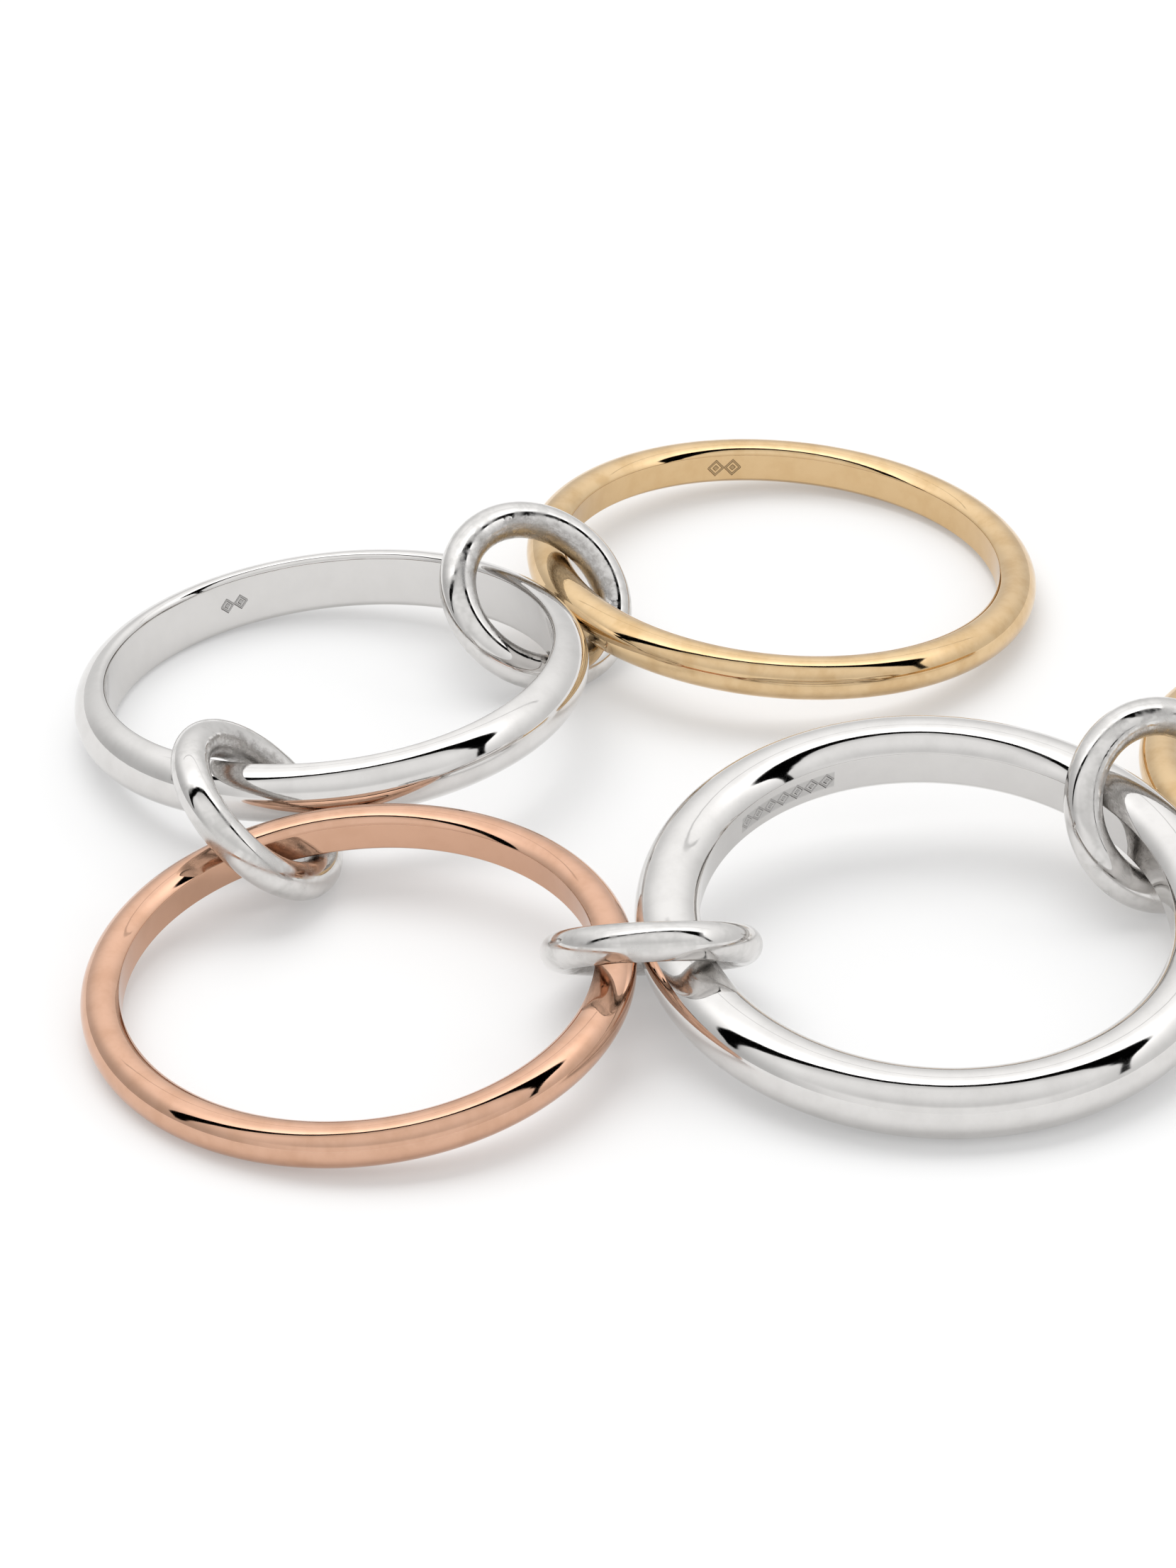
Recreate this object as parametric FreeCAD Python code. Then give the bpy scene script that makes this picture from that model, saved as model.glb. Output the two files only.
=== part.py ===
"""Five finger rings joined in a row by four small round connector links.

Units are millimetres and degrees. +Z is up, and z = 0 is the surface the rings lie on.
The origin is under the middle of the whole set, +X runs along the row.
"""
import FreeCAD, Part
import math
import os

# --- sizes that drive the rings -------------------------------------------------------------
FINGER_DIAMETER = 17.7       # clear diameter inside every ring
INSIDE_FLAT = 0.2            # taken off the inside of each round wire, flat against the finger

FINE_WIRE = 1.74             # wire of the two yellow gold rings
ROSE_WIRE = 1.70             # wire of the rose gold ring
HEAVY_WIRE = 2.60            # wire of the thick silver ring

BAND_WIDTH = 2.40            # silver band, measured along the finger
BAND_THICKNESS = 1.35        # silver band, from the finger outwards
BAND_INSIDE_WIDTH = 1.85     # straight part of its inner wall

LINK_WIRE = 1.48             # wire of a connector link
LINK_DIAMETER = 8.26         # connector link, outside

# --- where each ring lies -------------------------------------------------------------------
# centre is (x, y); the ring's axis leans from the vertical by `lean`, towards the compass
# direction `towards` (counter-clockwise from +X). Its height follows from lying on z = 0.
RINGS = {
    "gold_ring": {"section": "wire", "wire": FINE_WIRE,
                  "centre": (-2.99, 15.22), "lean": 5.1, "towards": 37.0},
    "silver_band": {"section": "band",
                    "centre": (-20.97, 5.12), "lean": 7.4, "towards": 142.3},
    "rose_gold_ring": {"section": "wire", "wire": ROSE_WIRE,
                       "centre": (-19.36, -15.28), "lean": 6.3, "towards": -137.5},
    "heavy_silver_ring": {"section": "wire", "wire": HEAVY_WIRE,
                          "centre": (2.11, -12.54), "lean": 8.2, "towards": -80.8},
    "end_gold_ring": {"section": "wire", "wire": FINE_WIRE,
                      "centre": (20.77, -1.54), "lean": 5.9, "towards": 29.4},
}

# The links stand on edge between two rings, so they also have a height.
LINKS = {
    "link_gold_to_band": {"centre": (-12.95, 10.88, 2.87), "lean": 38.6, "towards": -50.8},
    "link_band_to_rose": {"centre": (-23.47, -5.33, 3.07), "lean": 43.2, "towards": -3.3},
    "link_rose_to_heavy": {"centre": (-8.51, -14.56, 2.84), "lean": 38.0, "towards": 93.6},
    "link_heavy_to_end": {"centre": (10.90, -5.94, 3.65), "lean": 58.6, "towards": -59.1},
}

FINGER_RADIUS = FINGER_DIAMETER / 2
BAND_EDGE_RADIUS = (BAND_WIDTH - BAND_INSIDE_WIDTH) / 2
DOME_START = FINGER_RADIUS + BAND_EDGE_RADIUS
DOME_RISE = BAND_THICKNESS - BAND_EDGE_RADIUS


def in_section(radius, height):
    """Point of a ring's cross-section: distance from the ring's axis, height along it."""
    return FreeCAD.Vector(radius, 0, height)


def revolve(edges):
    """Turn a closed cross-section once round the ring's axis."""
    section = Part.Face(Part.Wire(edges))
    return section.revolve(FreeCAD.Vector(0, 0, 0), FreeCAD.Vector(0, 0, 1), 360)


def wire_centre_radius(wire):
    """Radius of the circle that a ring's wire follows."""
    return FINGER_RADIUS - INSIDE_FLAT + wire / 2


def wire_ring(wire):
    """Ring of round wire, flattened where it lies against the finger."""
    radius = wire / 2
    centre = wire_centre_radius(wire)
    flat_half_width = math.sqrt(radius ** 2 - (centre - FINGER_RADIUS) ** 2)
    top = in_section(FINGER_RADIUS, flat_half_width)
    bottom = in_section(FINGER_RADIUS, -flat_half_width)
    outermost = in_section(centre + radius, 0)
    round_side = Part.Arc(top, outermost, bottom).toShape()
    flat_side = Part.makeLine(bottom, top)
    return revolve([round_side, flat_side])


def domed_band():
    """Band with a straight inner wall, softened edges and a domed outside."""
    dome_top = in_section(DOME_START, BAND_WIDTH / 2)
    dome_bottom = in_section(DOME_START, -BAND_WIDTH / 2)
    outermost = in_section(FINGER_RADIUS + BAND_THICKNESS, 0)
    wall_top = in_section(FINGER_RADIUS, BAND_INSIDE_WIDTH / 2)
    wall_bottom = in_section(FINGER_RADIUS, -BAND_INSIDE_WIDTH / 2)

    # a point half way round each softened edge
    edge_offset = BAND_EDGE_RADIUS * (1 - math.sqrt(0.5))
    edge_top = in_section(FINGER_RADIUS + edge_offset, BAND_WIDTH / 2 - edge_offset)
    edge_bottom = in_section(FINGER_RADIUS + edge_offset, -BAND_WIDTH / 2 + edge_offset)

    wall = Part.makeLine(wall_bottom, wall_top)
    upper_edge = Part.Arc(wall_top, edge_top, dome_top).toShape()
    dome = Part.Arc(dome_top, outermost, dome_bottom).toShape()
    lower_edge = Part.Arc(dome_bottom, edge_bottom, wall_bottom).toShape()
    return revolve([wall, upper_edge, dome, lower_edge])


def connector_link():
    """Plain round link of round wire."""
    return Part.makeTorus((LINK_DIAMETER - LINK_WIRE) / 2, LINK_WIRE / 2)


def wire_ring_height(wire, lean):
    """Height of a leaning wire ring's centre when its lowest point touches z = 0."""
    return wire_centre_radius(wire) * math.sin(math.radians(lean)) + wire / 2


def band_height(lean):
    """Height of the leaning band's centre when its dome touches z = 0."""
    dome_radius = (DOME_RISE ** 2 + (BAND_WIDTH / 2) ** 2) / (2 * DOME_RISE)
    dome_centre = FINGER_RADIUS + BAND_THICKNESS - dome_radius
    return dome_centre * math.sin(math.radians(lean)) + dome_radius


def placed(shape, centre, lean, towards):
    """Lean the shape's axis from +Z towards a compass direction, then move it."""
    heading = math.radians(towards)
    hinge_line = FreeCAD.Vector(-math.sin(heading), math.cos(heading), 0)
    result = shape.copy()
    result.rotate(FreeCAD.Vector(0, 0, 0), hinge_line, lean)
    result.translate(FreeCAD.Vector(*centre))
    return result


def ring_shapes():
    """Every ring, lying where it belongs."""
    shapes = {}
    for name, ring in RINGS.items():
        if ring["section"] == "band":
            shape = domed_band()
            height = band_height(ring["lean"])
        else:
            shape = wire_ring(ring["wire"])
            height = wire_ring_height(ring["wire"], ring["lean"])
        centre = ring["centre"] + (height,)
        shapes[name] = placed(shape, centre, ring["lean"], ring["towards"])
    return shapes


def link_shapes():
    """Every connector link, where it hooks two rings together."""
    return {name: placed(connector_link(), link["centre"], link["lean"], link["towards"])
            for name, link in LINKS.items()}


os.makedirs("parts", exist_ok=True)
pieces = {**ring_shapes(), **link_shapes()}
for node, solid in pieces.items():
    solid.exportStep(f"parts/{node}.step")
    print(f"{node}: {solid.Volume:.2f} mm3")
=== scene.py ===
"""Looks for the five linked finger rings: polished metal in a white light tent."""

import functools
import math

import bpy
import numpy as np
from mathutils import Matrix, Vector


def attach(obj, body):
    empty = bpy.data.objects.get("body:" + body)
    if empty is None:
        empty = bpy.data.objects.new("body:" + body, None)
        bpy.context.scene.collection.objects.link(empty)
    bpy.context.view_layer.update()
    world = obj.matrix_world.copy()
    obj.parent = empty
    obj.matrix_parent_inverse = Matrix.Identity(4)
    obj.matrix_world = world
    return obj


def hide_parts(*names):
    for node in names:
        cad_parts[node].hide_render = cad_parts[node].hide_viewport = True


MM = 0.001

# --- sizes in millimetres, as in the CAD source ------------------------------------------------
FINGER_RADIUS = 8.85
INSIDE_FLAT = 0.2
FINE_WIRE = 1.74
ROSE_WIRE = 1.70
HEAVY_WIRE = 2.60
BAND_WIDTH = 2.40
BAND_THICKNESS = 1.35
BAND_INSIDE_WIDTH = 1.85
LINK_WIRE = 1.48
LINK_DIAMETER = 8.26
CORNER = 0.09               # rounding between a wire ring's round side and its inside flat

# Each ring's metal and the diameter of its wire; the band is not made of wire.
RINGS = {
    "gold_ring": ("yellow_gold", FINE_WIRE),
    "silver_band": ("silver", None),
    "rose_gold_ring": ("rose_gold", ROSE_WIRE),
    "heavy_silver_ring": ("silver", HEAVY_WIRE),
    "end_gold_ring": ("yellow_gold", FINE_WIRE),
}
LINKS = ["link_gold_to_band", "link_band_to_rose", "link_rose_to_heavy", "link_heavy_to_end"]

# Points round a hoop, and along the parts of its cross-section.
STEPS_ROUND_RING = 480
STEPS_ROUND_LINK = 288
ROUND_SIDE_POINTS = 73
CORNER_POINTS = 9
FLAT_POINTS = 13
BAND_EDGE_POINTS = 15
BAND_WALL_POINTS = 17
LINK_POINTS = 64

# --- colours -----------------------------------------------------------------------------------
# Each metal's colour, and a deeper tone: the metal's own tone in random patches, and painted shade on the
# inside against the finger, standing in for the shadowed floor that it reflects there.
COLOURS = {
    "yellow_gold": ((0.74, 0.54, 0.315, 1), (0.64, 0.44, 0.23, 1)),
    "rose_gold": ((0.69, 0.425, 0.30, 1), (0.62, 0.37, 0.25, 1)),
    "silver": ((0.72, 0.705, 0.69, 1), (0.67, 0.655, 0.64, 1)),
}
SCUFFED_SILVER = (0.56, 0.55, 0.535, 1)
WORN_SILVER = (0.30, 0.285, 0.27, 1)
PUNCHED_SHADE = 0.42        # a punched mark's colour, as a share of the deeper tone

# How far a surface turns to each of these colours.
# the first is painted shade: a ring's inside darkened to stand in for the shadowed floor it reflects
INSIDE_PAINTED_SHADE = 0.6
SCUFF_TONE = 0.6
WORN_TONE = 0.75
PUNCH_TONE = 0.65

# --- surfaces ----------------------------------------------------------------------------------
# Noise: how many to a millimetre, octaves, and the strength of the finer octaves.
WAVES = (0.55, 2.0, 0.45)   # slow unevenness left by hand polishing
RIPPLE = (2.4, 2.0, 0.5)
PATCHES = (0.9, 3.0, 0.6)
HAIRS = (2.5, 4.0, 0.65)    # polishing lines round the ring
SCUFFS = (0.75, 3.0, 0.65)
SCORES = (5.0, 5.0, 0.7)    # scratches in a link's hole

HAIRS_TO_A_RADIAN = 4.0
HAIRS_ACROSS = 14.0
SCORES_STRETCH = (1.0, 1.0, 2.2)
SEED_STEP = (17.3, 5.1, 9.7)
FIRST_LINK_SEED = 10

# The stretch of noise over which each effect comes in, from none to full or between two levels.
PATCH_TONE_RAMP = (0.35, 0.75)
PATCH_ROUGH_RAMP = (0.45, 0.8)
HAIR_RAMP = (0.55, 0.75)
SCUFF_RAMP = (0.44, 0.62)
WORN_RAMP = (0.30, 0.70, 0.35, 1.0)

# Depths, in millimetres.
WAVE_DEPTH = 0.006
RIPPLE_DEPTH = 0.0004
HAIR_DEPTH = 0.00015
SCORE_DEPTH = 0.012
PUNCH_DEPTH = 0.05

# Roughness of polished metal, and what each kind of wear adds to it.
POLISHED = 0.045
PATCH_ROUGHNESS = 0.04
HAIR_ROUGHNESS = 0.04
WORN_ROUGHNESS = 0.22
PUNCH_ROUGHNESS = 0.2

INSIDE_REACH = 0.05         # how far out from the finger a ring's surface counts as its inside
WORN_HOLE = (2.90, 3.30, 1.0, 0.0)      # wear of a link, by distance from its axis
WORN_HOLE_UNEVEN = 0.8

# Punched marks inside a ring: first angle in degrees, how many, their spacing in millimetres, and
# how much the metal round them is darkened.
MARKS = {
    "gold_ring": (99.5, 2, 0.72, 0.0),
    "silver_band": (115.0, 2, 0.60, 0.0),
    "heavy_silver_ring": (114.0, 7, 0.66, 0.35),
}
LOZENGE_SIZE = 0.44         # from its middle to its corner, as a share of the spacing
LOZENGE_LINE = (0.03, 0.08, 1.0, 0.0)
LOZENGE_DOT = (0.10, 0.16, 1.0, 0.0)
STRIP_EDGE = 0.12

# --- light tent --------------------------------------------------------------------------------
# Directions are (sideways, away from the camera, up). A ramp goes smoothly between two places:
# (place, other place, level, other level).
FRONT_PANEL = (0.28, 0.42, 1.02, 0.80)      # by height
FRONT_TOP = (0.42, 0.85, 0.0, 0.22)         # by height, added
FRONT_SHADE = (-0.30, 0.0, 0.0, -0.36)      # by distance to the gap, added
DOME = (0.10, 0.90, 0.80, 1.30)             # by height
OVERHEAD_EDGE = (0.0, 0.50, 0.90, 0.0)      # by distance to the gap, added
FRONT_TO_OVERHEAD = (-0.01, 0.01)
SIDES_CENTRE = 0.05
SIDES = (0.35, 0.95)                        # by distance sideways from that centre
LEFT_DIMMER = (-0.95, -0.5, 0.74, 1.0)      # sideways, on the side panels

# The dark gap between the front and overhead panels, as (sideways, away from the camera).
GAP = [(-1.0, -.36), (-.95, -.28), (-.87, -.20), (-.74, -.17), (-.60, -.16), (-.41, -.13), (-.21, -.06),
       (-.05, -.01), (.10, .04), (.30, .08), (.44, .05), (.55, .0), (.66, -.06), (.80, -.26), (.90, -.40),
       (1.0, -.48)]
# Its width is the sum of these ramps, sideways, and it closes at the far left.
GAP_WIDTH = [(-0.30, -0.60, 0.055, 0.09), (0.05, 0.30, 0.0, 0.03), (0.34, 0.62, 0.0, 0.065),
             (0.68, 0.80, 0.0, -0.10)]
GAP_CLOSED_LEFT = (-0.97, -0.90, 0.02, 1.0)
GAP_EDGE = (0.85, 1.15)                     # as a share of the width
GAP_HIDDEN_LOW = (0.14, 0.24, 1.0, 0.0)     # by height

# A fainter gap behind, where away * BACK_AWAY equals up * BACK_UP.
BACK_AWAY = 0.79
BACK_UP = 0.61
BACK_GAP = (0.006, 0.016, 0.62, 1.0)
BACK_GAP_ENDS = (0.0, 0.4)                  # fades out over this much of the side panels

# --- floor, lamp and camera --------------------------------------------------------------------
WHITE = (1, 1, 1, 1)
FLOOR_GREY = (0.62, 0.62, 0.62, 1)
FLOOR_GLOW = 0.25
FLOOR_HALF_WIDTH = 1500 * MM

LAMP_POWER = 1.0
LAMP_SPREAD = math.radians(50)
LAMP_FROM = (-0.18, 0.32, 0.93)

CAMERA_TARGET = (-10.86 * MM, 1.33 * MM, 0)
CAMERA_DISTANCE = 277.5 * MM
CAMERA_NEAREST = 10 * MM
CAMERA_ELEVATION = math.radians(32.32)
CAMERA_LENS = 162.75
CAMERA_FILM_HEIGHT = 36


# --- cross-sections: (distance from the ring's axis, height along it), in millimetres ----------
def arc(centre, radius, start, end, count):
    """Points on an arc, from angle start to angle end, in degrees."""
    angles = np.radians(np.linspace(start, end, count))
    return [(centre[0] + radius * math.cos(a), centre[1] + radius * math.sin(a)) for a in angles]


def inner_wall(half_height, count):
    """Points down a straight wall against the finger, without its two ends."""
    heights = np.linspace(half_height, -half_height, count)
    return [(FINGER_RADIUS, height) for height in heights[1:-1]]


def wire_section(wire):
    """Round wire with a flat against the finger and softened corners beside it."""
    radius = wire / 2
    middle = FINGER_RADIUS - INSIDE_FLAT + radius
    corner_x = FINGER_RADIUS + CORNER
    corner_h = math.sqrt((radius - CORNER) ** 2 - (middle - corner_x) ** 2)
    meet = math.degrees(math.atan2(corner_h, corner_x - middle))
    points = arc((middle, 0), radius, -meet, meet, ROUND_SIDE_POINTS)
    points += arc((corner_x, corner_h), CORNER, meet, 180, CORNER_POINTS)[1:]
    points += inner_wall(corner_h, FLAT_POINTS)
    points += arc((corner_x, -corner_h), CORNER, 180, 360 - meet, CORNER_POINTS)[:-1]
    return points


def band_section():
    """Straight inner wall, softened edges and a domed outside."""
    edge = (BAND_WIDTH - BAND_INSIDE_WIDTH) / 2
    rise = BAND_THICKNESS - edge
    dome = (rise ** 2 + (BAND_WIDTH / 2) ** 2) / (2 * rise)
    middle = FINGER_RADIUS + BAND_THICKNESS - dome
    edge_x = FINGER_RADIUS + edge
    wall_h = BAND_INSIDE_WIDTH / 2
    start = math.degrees(math.atan2(BAND_WIDTH / 2, edge_x - middle))
    points = arc((middle, 0), dome, -start, start, ROUND_SIDE_POINTS)
    points += arc((edge_x, wall_h), edge, 90, 180, BAND_EDGE_POINTS)[1:]
    points += inner_wall(wall_h, BAND_WALL_POINTS)
    points += arc((edge_x, -wall_h), edge, 180, 270, BAND_EDGE_POINTS)[:-1]
    return points


def link_section():
    """Plain round wire."""
    middle = (LINK_DIAMETER - LINK_WIRE) / 2
    return arc((middle, 0), LINK_WIRE / 2, 0, 360, LINK_POINTS + 1)[:-1]


# --- meshes ------------------------------------------------------------------------------------
def ring_frame(node):
    """Centre of a CAD ring and its axis, X and Y directions, from its own surface."""
    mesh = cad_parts[node].data
    places = np.zeros(len(mesh.vertices) * 3)
    mesh.vertices.foreach_get("co", places)
    places = np.unique(places.reshape(-1, 3).round(7), axis=0)
    centre = (places.min(axis=0) + places.max(axis=0)) / 2
    axis = np.linalg.svd(places - places.mean(axis=0), full_matrices=False)[2][2]
    axis = axis * np.sign(axis[2])
    along_x = np.cross((0.0, 1.0, 0.0), axis)
    along_x = along_x / np.linalg.norm(along_x)
    along_y = np.cross(axis, along_x)
    return centre, axis, along_x, along_y


def hoop_faces(steps, count):
    """Quads of a closed section of count points, turned round in steps."""
    faces = []
    for i in range(steps):
        here = i * count
        there = (i + 1) % steps * count
        for j in range(count):
            k = (j + 1) % count
            faces.append((here + j, there + j, there + k, here + k))
    return faces


def hoop_piece(node, section, steps, material):
    """Turn a cross-section round a CAD ring's axis and let it stand for that ring."""
    centre, axis, along_x, along_y = ring_frame(node)
    section = np.array(section)
    angles = np.linspace(0, 2 * math.pi, steps, endpoint=False)
    local = np.zeros((steps, len(section), 3))
    local[:, :, 0] = np.cos(angles)[:, None] * section[None, :, 0]
    local[:, :, 1] = np.sin(angles)[:, None] * section[None, :, 0]
    local[:, :, 2] = section[None, :, 1]
    local = local.reshape(-1, 3)
    world = centre + MM * (local[:, :1] * along_x + local[:, 1:2] * along_y + local[:, 2:] * axis)

    name = node + "_polished"
    faces = hoop_faces(steps, len(section))
    mesh = bpy.data.meshes.new(name)
    mesh.from_pydata(world.tolist(), [], faces)
    mesh.polygons.foreach_set("use_smooth", [True] * len(faces))
    place = mesh.attributes.new("ring_place", "FLOAT_VECTOR", "POINT")
    place.data.foreach_set("vector", local.ravel().astype(np.float32))
    mesh.update()
    mesh.materials.append(material)
    piece = bpy.data.objects.new(name, mesh)
    bpy.context.scene.collection.objects.link(piece)
    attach(piece, node)
    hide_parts(node)


# --- shader nodes ------------------------------------------------------------------------------
class Nodes:
    """Short ways to add shader nodes to one tree. A value is a constant or a node's output."""

    def __init__(self, tree):
        self.tree = tree
        tree.nodes.clear()

    def put(self, socket, value):
        if isinstance(value, bpy.types.NodeSocket):
            self.tree.links.new(value, socket)
        else:
            socket.default_value = value

    def add(self, kind, settings=None, **inputs):
        node = self.tree.nodes.new(kind)
        for key, value in (settings or {}).items():
            setattr(node, key, value)
        for key, value in inputs.items():
            self.put(node.inputs[key.replace("_", " ")], value)
        return node

    def maths(self, operation, *values):
        node = self.add("ShaderNodeMath", {"operation": operation})
        for socket, value in zip(node.inputs, values):
            self.put(socket, value)
        return node.outputs[0]

    def plus(self, *values):
        return functools.reduce(lambda total, value: self.maths("ADD", total, value), values)

    def minus(self, value, other):
        return self.maths("SUBTRACT", value, other)

    def times(self, *values):
        return functools.reduce(lambda total, value: self.maths("MULTIPLY", total, value), values)

    def over(self, value, other):
        return self.maths("DIVIDE", value, other)

    def size_of(self, value):
        return self.maths("ABSOLUTE", value)

    def largest(self, value, other):
        return self.maths("MAXIMUM", value, other)

    def below(self, value, limit):
        return self.maths("LESS_THAN", value, limit)

    def vector(self, operation, *values):
        node = self.add("ShaderNodeVectorMath", {"operation": operation})
        for socket, value in zip(node.inputs, values):
            self.put(socket, value)
        return node.outputs[0]

    def ramp(self, value, start, end, start_level=0.0, end_level=1.0):
        node = self.add("ShaderNodeMapRange", {"interpolation_type": "SMOOTHSTEP"}, Value=value,
                        From_Min=start, From_Max=end, To_Min=start_level, To_Max=end_level)
        return node.outputs[0]

    def noise(self, vector, scale, detail, roughness):
        node = self.add("ShaderNodeTexNoise", Vector=vector, Scale=scale, Detail=detail,
                        Roughness=roughness)
        return node.outputs["Fac"]

    def mix(self, share, first, second):
        node = self.add("ShaderNodeMix", {"data_type": "FLOAT"})
        for index, value in ((0, share), (2, first), (3, second)):
            self.put(node.inputs[index], value)
        return node.outputs[0]

    def mix_colour(self, share, first, second):
        node = self.add("ShaderNodeMix", {"data_type": "RGBA"})
        for index, value in ((0, share), (6, first), (7, second)):
            self.put(node.inputs[index], value)
        return node.outputs[2]

    def curve(self, value, points):
        """A smooth curve through (input, output) points, both from -1 to 1."""
        node = self.add("ShaderNodeFloatCurve", Value=self.maths("MULTIPLY_ADD", value, 0.5, 0.5))
        line = node.mapping.curves[0]
        while len(line.points) < len(points):
            line.points.new(0.5, 0.5)
        for point, (x, y) in zip(line.points, points):
            point.location = (x / 2 + 0.5, y / 2 + 0.5)
        node.mapping.update()
        return self.maths("MULTIPLY_ADD", node.outputs[0], 2.0, -1.0)


# --- metals ------------------------------------------------------------------------------------
def punched_marks(n, angle, height, first, count, spacing, shade):
    """A row of punched lozenges with a dot in each, round the inside of a ring.

    Returns the marks' depth and the darkening of the strip they stand in, both 0 to 1.
    """
    along = n.times(n.minus(angle, math.radians(first)), FINGER_RADIUS)
    cell = n.over(along, spacing)
    in_row = n.below(n.size_of(n.minus(cell, count / 2)), count / 2)
    across = n.times(n.minus(n.maths("FRACT", cell), 0.5), spacing)
    lozenge = n.plus(n.size_of(across), n.size_of(height))
    size = spacing * LOZENGE_SIZE
    outline = n.ramp(n.size_of(n.minus(lozenge, size)), *LOZENGE_LINE)
    dot = n.ramp(lozenge, *LOZENGE_DOT)
    strip = n.ramp(n.size_of(height), size, size + STRIP_EDGE, shade, 0.0)
    return n.times(n.largest(outline, dot), in_row), n.times(strip, in_row)


class Metal:
    """A hand-polished metal, slightly uneven and finely scratched, and the wear added to it."""

    def __init__(self, name, slot, seed):
        self.material = bpy.data.materials.new(name)
        self.material.use_nodes = True
        n = Nodes(self.material.node_tree)
        self.n = n
        place = n.add("ShaderNodeAttribute", {"attribute_name": "ring_place"}).outputs["Vector"]
        x, y, self.height = n.add("ShaderNodeSeparateXYZ", Vector=place).outputs
        self.angle = n.maths("ARCTAN2", y, x)
        self.from_axis = n.maths("SQRT", n.plus(n.times(x, x), n.times(y, y)))
        self.shifted = n.vector("ADD", place, tuple(seed * step for step in SEED_STEP))
        round_ring = n.add("ShaderNodeCombineXYZ", X=n.times(self.angle, HAIRS_TO_A_RADIAN),
                           Y=n.times(self.from_axis, HAIRS_ACROSS),
                           Z=n.times(self.height, HAIRS_ACROSS)).outputs[0]

        waves = n.noise(self.shifted, *WAVES)
        patches = n.noise(self.shifted, *PATCHES)
        hairs = n.noise(round_ring, *HAIRS)
        self.ripple = n.noise(self.shifted, *RIPPLE)
        colour, self.deep_tone_and_painted_shade = COLOURS[slot]
        self.base = n.mix_colour(n.ramp(patches, *PATCH_TONE_RAMP), colour, self.deep_tone_and_painted_shade)
        self.rough = n.plus(POLISHED, n.times(n.ramp(patches, *PATCH_ROUGH_RAMP), PATCH_ROUGHNESS),
                            n.times(n.ramp(hairs, *HAIR_RAMP), HAIR_ROUGHNESS))
        self.relief = n.plus(n.times(waves, WAVE_DEPTH), n.times(self.ripple, RIPPLE_DEPTH),
                             n.times(hairs, HAIR_DEPTH))

    def tint(self, share, colour):
        self.base = self.n.mix_colour(share, self.base, colour)

    def wear_link(self):
        """Scuffed all round, and worn and scored in the hole, where the rings hang on it."""
        n = self.n
        scuffs = n.ramp(n.noise(self.shifted, *SCUFFS), *SCUFF_RAMP)
        scores = n.noise(n.vector("MULTIPLY", self.shifted, SCORES_STRETCH), *SCORES)
        uneven = n.times(n.minus(self.ripple, 0.5), WORN_HOLE_UNEVEN)
        hole = n.ramp(n.plus(self.from_axis, uneven), *WORN_HOLE)
        worn = n.times(hole, n.ramp(scores, *WORN_RAMP))
        self.tint(n.times(scuffs, SCUFF_TONE), SCUFFED_SILVER)
        self.tint(n.times(worn, WORN_TONE), WORN_SILVER)
        self.rough = n.plus(self.rough, n.times(scuffs, WORN_ROUGHNESS), n.times(worn, WORN_ROUGHNESS))
        self.relief = n.plus(self.relief, n.times(scores, hole, SCORE_DEPTH))

    def paint_inside_shade_and_marks(self, marks):
        """Painted shade against the finger, standing in for the shadowed floor that the inside reflects,
        and the punched marks there, if the ring has any.
        """
        n = self.n
        inside = n.below(self.from_axis, FINGER_RADIUS + INSIDE_REACH)
        # painted shade: the inside is tinted towards the deeper tone, standing in for the shadowed floor
        # it reflects
        self.tint(n.times(inside, INSIDE_PAINTED_SHADE), self.deep_tone_and_painted_shade)
        if marks:
            punched, strip = punched_marks(n, self.angle, self.height, *marks)
            punched = n.times(punched, inside)
            dark = n.times(n.largest(n.times(punched, PUNCH_TONE), strip), inside)
            self.tint(dark, tuple(PUNCHED_SHADE * v for v in self.deep_tone_and_painted_shade[:3]) + (1,))
            self.rough = n.plus(self.rough, n.times(punched, PUNCH_ROUGHNESS))
            self.relief = n.minus(self.relief, n.times(punched, PUNCH_DEPTH))

    def finished(self):
        n = self.n
        bump = n.add("ShaderNodeBump", Strength=1.0, Distance=MM, Height=self.relief)
        shader = n.add("ShaderNodeBsdfPrincipled", Base_Color=self.base, Metallic=1.0,
                       Roughness=self.rough, Normal=bump.outputs[0])
        n.add("ShaderNodeOutputMaterial", Surface=shader.outputs[0])
        return self.material


# --- rings and links ---------------------------------------------------------------------------
def ring(node, slot, wire, seed):
    """One finger ring, of wire or the band."""
    metal = Metal(node, slot, seed)
    metal.paint_inside_shade_and_marks(MARKS.get(node))
    section = wire_section(wire) if wire else band_section()
    hoop_piece(node, section, STEPS_ROUND_RING, metal.finished())


def link(node, seed):
    """One connector link."""
    metal = Metal(node, "silver", seed)
    metal.wear_link()
    hoop_piece(node, link_section(), STEPS_ROUND_LINK, metal.finished())


# --- studio ------------------------------------------------------------------------------------
def floor():
    """White sweep under the rings."""
    size = FLOOR_HALF_WIDTH
    corners = [(-size, -size, 0), (size, -size, 0), (size, size, 0), (-size, size, 0)]
    mesh = bpy.data.meshes.new("floor")
    mesh.from_pydata(corners, [], [(0, 1, 2, 3)])
    ground = bpy.data.objects.new("floor", mesh)
    bpy.context.scene.collection.objects.link(ground)

    material = bpy.data.materials.new("white_sweep")
    material.use_nodes = True
    n = Nodes(material.node_tree)
    diffuse = n.add("ShaderNodeBsdfDiffuse", Color=FLOOR_GREY)
    glow = n.add("ShaderNodeEmission", Color=WHITE, Strength=FLOOR_GLOW)
    both = n.add("ShaderNodeAddShader")
    n.put(both.inputs[0], diffuse.outputs[0])
    n.put(both.inputs[1], glow.outputs[0])
    n.add("ShaderNodeOutputMaterial", Surface=both.outputs[0])
    mesh.materials.append(material)


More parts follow.
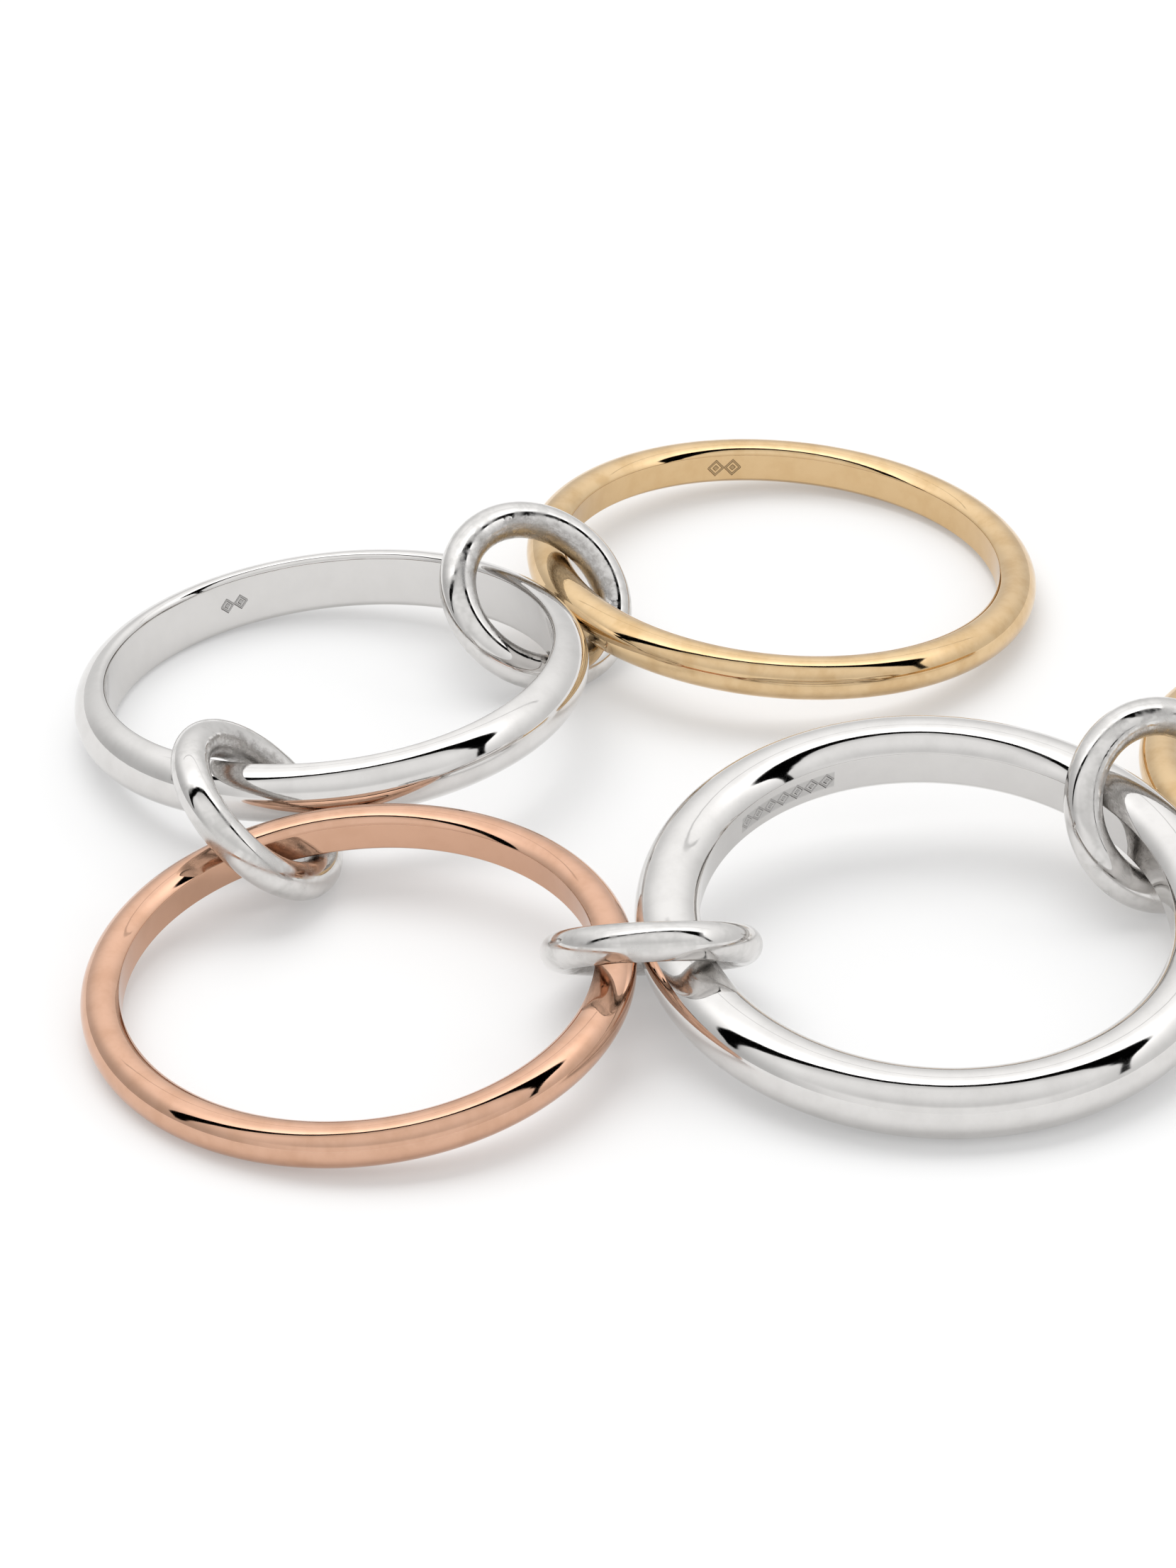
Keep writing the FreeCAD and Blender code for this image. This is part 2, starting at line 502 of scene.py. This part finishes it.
def light_tent():
    """Bright fabric all round, with dark gaps between its panels."""
    world = bpy.data.worlds.new("light_tent")
    bpy.context.scene.world = world
    world.use_nodes = True
    n = Nodes(world.node_tree)
    direction = n.add("ShaderNodeTexCoord").outputs["Generated"]
    sideways, away, up = n.add("ShaderNodeSeparateXYZ", Vector=direction).outputs

    # signed distances past the two gaps, away from the camera
    past_gap = n.minus(away, n.curve(sideways, GAP))
    past_back = n.minus(n.times(away, BACK_AWAY), n.times(up, BACK_UP))

    # panels
    dome = n.ramp(up, *DOME)
    front = n.plus(n.ramp(up, *FRONT_PANEL), n.ramp(up, *FRONT_TOP), n.ramp(past_gap, *FRONT_SHADE))
    overhead = n.plus(dome, n.ramp(past_gap, *OVERHEAD_EDGE))
    light = n.mix(n.ramp(past_gap, *FRONT_TO_OVERHEAD), front, overhead)
    side = n.ramp(n.size_of(n.minus(sideways, SIDES_CENTRE)), *SIDES)
    light = n.mix(side, light, n.times(dome, n.ramp(sideways, *LEFT_DIMMER)))

    # gaps: 0 is a dark gap, 1 is fabric
    width = n.plus(*(n.ramp(sideways, *part) for part in GAP_WIDTH))
    width = n.times(width, n.ramp(sideways, *GAP_CLOSED_LEFT))
    gap = n.ramp(n.over(n.size_of(past_gap), width), *GAP_EDGE)
    gap = n.largest(gap, n.ramp(up, *GAP_HIDDEN_LOW))
    back_gap = n.ramp(n.size_of(past_back), *BACK_GAP)
    back_gap = n.largest(back_gap, n.ramp(side, *BACK_GAP_ENDS))

    background = n.add("ShaderNodeBackground", Color=WHITE, Strength=n.times(light, gap, back_gap))
    n.add("ShaderNodeOutputWorld", Surface=background.outputs[0])


def softbox():
    """Wide lamp above and a little behind the rings, for the soft shadows under them."""
    lamp = bpy.data.lights.new("softbox", "SUN")
    lamp.energy = LAMP_POWER
    lamp.angle = LAMP_SPREAD
    body = bpy.data.objects.new("softbox", lamp)
    bpy.context.scene.collection.objects.link(body)
    body.rotation_euler = Vector(LAMP_FROM).to_track_quat("Z", "Y").to_euler()
    body.visible_glossy = False


def camera():
    """Long lens, looking down at the set."""
    data = bpy.data.cameras.new("camera")
    data.sensor_fit = "VERTICAL"
    data.sensor_height = CAMERA_FILM_HEIGHT
    data.lens = CAMERA_LENS
    data.clip_start = CAMERA_NEAREST
    body = bpy.data.objects.new("camera", data)
    bpy.context.scene.collection.objects.link(body)
    back = Vector((0, -math.cos(CAMERA_ELEVATION), math.sin(CAMERA_ELEVATION)))
    body.location = Vector(CAMERA_TARGET) + back * CAMERA_DISTANCE
    body.rotation_euler = (math.pi / 2 - CAMERA_ELEVATION, 0, 0)
    bpy.context.scene.camera = body


# --- the set -----------------------------------------------------------------------------------
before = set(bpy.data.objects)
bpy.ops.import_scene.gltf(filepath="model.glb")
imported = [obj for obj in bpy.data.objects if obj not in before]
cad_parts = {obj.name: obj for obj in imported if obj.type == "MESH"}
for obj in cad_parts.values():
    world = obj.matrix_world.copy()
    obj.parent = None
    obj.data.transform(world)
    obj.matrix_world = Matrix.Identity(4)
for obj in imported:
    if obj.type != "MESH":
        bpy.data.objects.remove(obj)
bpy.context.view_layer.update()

for seed, (node, (slot, wire)) in enumerate(RINGS.items()):
    ring(node, slot, wire, seed)
for seed, node in enumerate(LINKS, start=FIRST_LINK_SEED):
    link(node, seed)

floor()
light_tent()
softbox()
camera()
bpy.context.scene.view_settings.view_transform = "Standard"
